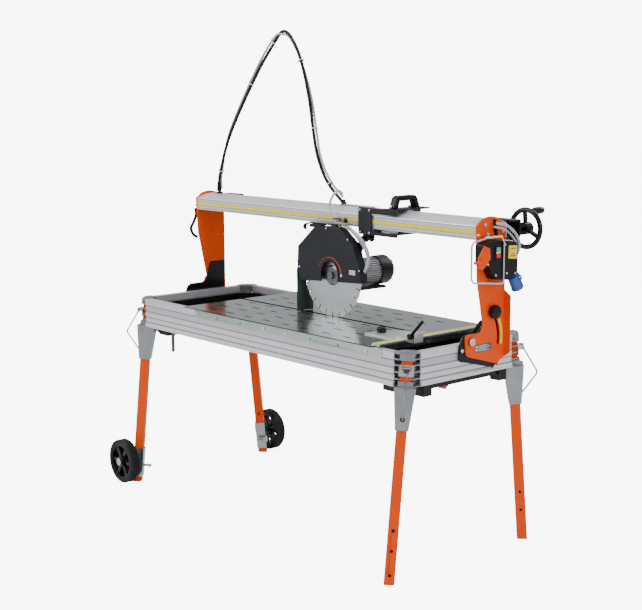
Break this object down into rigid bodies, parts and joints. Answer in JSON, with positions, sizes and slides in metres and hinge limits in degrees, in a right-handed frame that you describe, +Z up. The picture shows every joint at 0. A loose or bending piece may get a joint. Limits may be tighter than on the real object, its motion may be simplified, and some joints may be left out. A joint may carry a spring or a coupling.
{
  "type": "wet tile saw",
  "caption": "Bridge tile saw: tilting motor head on a belt-driven carriage over a slotted table and water tub, on plug-in legs with wheels.",
  "frame": {"origin": "on the floor, midway between the four feet, under the blade's cutting line", "axes": "+X along the cut towards the switch box and handwheel, -Y towards the operator's long side, +Z up; the blade plane and tilt axis lie on y = 0"},
  "size_m": [1.6567, 0.798, 1.779],
  "materials": {
    "orange_paint": "gloss powder coat",
    "black_paint": "gloss powder coat",
    "charcoal_paint": "satin powder coat",
    "anodised": "satin anodised",
    "cast_grey": "as cast",
    "galvanised": "galvanised sheet",
    "bright_steel": "bright zinc",
    "blade_steel": "ground",
    "brass": "plain",
    "black_plastic": "moulded",
    "tub_plastic": "vacuum formed",
    "red_plastic": "moulded",
    "green_plastic": "moulded",
    "blue_plastic": "moulded",
    "white_plastic": "moulded",
    "black_rubber": "moulded",
    "tyre_rubber": "ribbed"
  },
  "bodies": {
    "frame": {"long_rails": "anodised", "end_rails": "anodised", "corner_castings": "cast_grey", "latch_clips": "bright_steel", "water_tub": "tub_plastic", "water_pump": "black_plastic", "table_plates": "galvanised", "table_edge_strips": "galvanised", "table_crossbars": "galvanised", "fence_bar": "galvanised", "frame_screws": "bright_steel", "tilt_brackets": "black_paint"},
    "bridge": {"towers": "orange_paint", "beam": "anodised", "bridge_bolts": "bright_steel", "cable_glands": "black_plastic", "drive_belt": "black_rubber", "pulley_brackets": "black_paint", "switch_box": "black_plastic", "switch_wire_guard": "bright_steel", "power_inlet": "blue_plastic", "laser_unit": "orange_paint"},
    "carriage": {"carriage_frame": "charcoal_paint", "carriage_glides": "white_plastic", "carriage_handle": "black_plastic", "umbilical": "black_rubber"},
    "head": {"head_arm": "black_paint", "blade_guard": "charcoal_paint", "splash_flap": "black_rubber", "water_tap": "brass", "motor_body": "cast_grey", "motor_covers": "black_plastic"},
    "spindle": {"spindle": "bright_steel", "blade": "blade_steel"},
    "tap_lever": {"tap_lever": "black_plastic"},
    "handwheel": {"handwheel": "black_paint"},
    "crank_knob": {"crank_knob": "black_plastic"},
    "idler": {"idler_pulley": "black_paint"},
    "start_button": {"start_button": "green_plastic"},
    "stop_button": {"stop_button": "red_plastic"},
    "tilt_knob_right": {"tilt_knob_right": "black_plastic"},
    "tilt_knob_left": {"tilt_knob_left": "black_plastic"},
    "angle_guide": {"angle_guide": "galvanised"},
    "guide_knob": {"guide_knob": "black_plastic"},
    "fence_lever": {"fence_lever": "black_plastic"},
    "drain_plug": {"drain_plug": "red_plastic"},
    "leg_front_left": {"leg_front_left": "orange_paint", "wheel_bracket_front": "galvanised"},
    "latch_front_left": {"latch_front_left": "bright_steel"},
    "leg_front_right": {"leg_front_right": "orange_paint"},
    "latch_front_right": {"latch_front_right": "bright_steel"},
    "leg_back_left": {"leg_back_left": "orange_paint", "wheel_bracket_back": "galvanised"},
    "latch_back_left": {"latch_back_left": "bright_steel"},
    "leg_back_right": {"leg_back_right": "orange_paint"},
    "latch_back_right": {"latch_back_right": "bright_steel"},
    "wheel_front": {"wheel_rim_front": "black_plastic", "wheel_tyre_front": "tyre_rubber"},
    "wheel_back": {"wheel_rim_back": "black_plastic", "wheel_tyre_back": "tyre_rubber"}
  },
  "joints": [
    {"name": "bridge_tilt", "type": "hinge", "parent": "frame", "child": "bridge", "pos_m": [0, 0, 0.745], "axis": [1, 0, 0], "range_deg": [0, 45]},
    {"name": "carriage_slide", "type": "slide", "parent": "bridge", "child": "carriage", "axis": [1, 0, 0], "range_m": [-0.68, 0.33]},
    {"name": "head_plunge", "type": "hinge", "parent": "carriage", "child": "head", "pos_m": [0.243, 0.043, 1.034], "axis": [0, 1, 0], "range_deg": [0, 25]},
    {"name": "blade_spin", "type": "hinge", "parent": "head", "child": "spindle", "pos_m": [0.1, 0, 0.892], "axis": [0, 1, 0], "continuous": true},
    {"name": "tap_lever_turn", "type": "hinge", "parent": "head", "child": "tap_lever", "pos_m": [0.146, -0.006, 1.096], "axis": [0, 0, 1], "range_deg": [0, 90]},
    {"name": "handwheel_spin", "type": "hinge", "parent": "bridge", "child": "handwheel", "pos_m": [0.738, 0.25, 1.088], "axis": [0, 1, 0], "range_deg": [-1500, 740]},
    {"name": "idler_spin", "type": "hinge", "parent": "bridge", "child": "idler", "pos_m": [-0.738, 0.2, 1.088], "axis": [0, 1, 0], "range_deg": [-1500, 740]},
    {"name": "crank_knob_spin", "type": "hinge", "parent": "handwheel", "child": "crank_knob", "pos_m": [0.75716, 0.335, 1.14697], "axis": [0, 1, 0], "continuous": true},
    {"name": "start_button_press", "type": "slide", "parent": "bridge", "child": "start_button", "axis": [-1, 0, 0], "range_m": [0, 0.004]},
    {"name": "stop_button_press", "type": "slide", "parent": "bridge", "child": "stop_button", "axis": [-1, 0, 0], "range_m": [0, 0.004]},
    {"name": "tilt_knob_right_turn", "type": "hinge", "parent": "frame", "child": "tilt_knob_right", "pos_m": [0.77, 0.0988, 0.834], "axis": [1, 0, 0], "range_deg": [0, 120]},
    {"name": "tilt_knob_left_turn", "type": "hinge", "parent": "frame", "child": "tilt_knob_left", "pos_m": [-0.77, 0.0988, 0.834], "axis": [-1, 0, 0], "range_deg": [0, 120]},
    {"name": "angle_guide_slide", "type": "slide", "parent": "frame", "child": "angle_guide", "axis": [0, 1, 0], "range_m": [-0.1, 0]},
    {"name": "guide_knob_turn", "type": "hinge", "parent": "angle_guide", "child": "guide_knob", "pos_m": [0.462, -0.1, 0.755], "axis": [0, 0, 1], "range_deg": [0, 120]},
    {"name": "fence_lever_swing", "type": "hinge", "parent": "angle_guide", "child": "fence_lever", "pos_m": [0.656, -0.13, 0.766], "axis": [0, 1, 0], "range_deg": [-75, 0]},
    {"name": "drain_plug_pull", "type": "slide", "parent": "frame", "child": "drain_plug", "axis": [0, 0, -1], "range_m": [0, 0.03]},
    {"name": "leg_front_left_pull", "type": "slide", "parent": "frame", "child": "leg_front_left", "axis": [0, -0.1047, -0.9945], "range_m": [0, 0.2]},
    {"name": "latch_front_left_swing", "type": "hinge", "parent": "frame", "child": "latch_front_left", "pos_m": [-0.75775, -0.27295, 0.69278], "axis": [-0.7071, 0.7032, -0.074], "range_deg": [0, 60]},
    {"name": "leg_front_right_pull", "type": "slide", "parent": "frame", "child": "leg_front_right", "axis": [0, -0.1047, -0.9945], "range_m": [0, 0.2]},
    {"name": "latch_front_right_swing", "type": "hinge", "parent": "frame", "child": "latch_front_right", "pos_m": [0.75775, -0.27295, 0.69278], "axis": [-0.7071, -0.7032, 0.074], "range_deg": [0, 60]},
    {"name": "leg_back_left_pull", "type": "slide", "parent": "frame", "child": "leg_back_left", "axis": [0, 0.1047, -0.9945], "range_m": [0, 0.2]},
    {"name": "latch_back_left_swing", "type": "hinge", "parent": "frame", "child": "latch_back_left", "pos_m": [-0.75775, 0.27295, 0.69278], "axis": [0.7071, 0.7032, 0.074], "range_deg": [0, 60]},
    {"name": "leg_back_right_pull", "type": "slide", "parent": "frame", "child": "leg_back_right", "axis": [0, 0.1047, -0.9945], "range_m": [0, 0.2]},
    {"name": "latch_back_right_swing", "type": "hinge", "parent": "frame", "child": "latch_back_right", "pos_m": [0.75775, 0.27295, 0.69278], "axis": [0.7071, -0.7032, -0.074], "range_deg": [0, 60]},
    {"name": "wheel_front_spin", "type": "hinge", "parent": "leg_front_left", "child": "wheel_front", "pos_m": [-0.747, -0.371, 0.089], "axis": [0, 1, 0], "continuous": true},
    {"name": "wheel_back_spin", "type": "hinge", "parent": "leg_back_left", "child": "wheel_back", "pos_m": [-0.747, 0.371, 0.089], "axis": [0, 1, 0], "continuous": true}
  ],
  "couplings": [
    {"joint": "handwheel_spin", "follows": "carriage_slide", "rad_per_m": 38.095},
    {"joint": "idler_spin", "follows": "carriage_slide", "rad_per_m": 38.095}
  ]
}
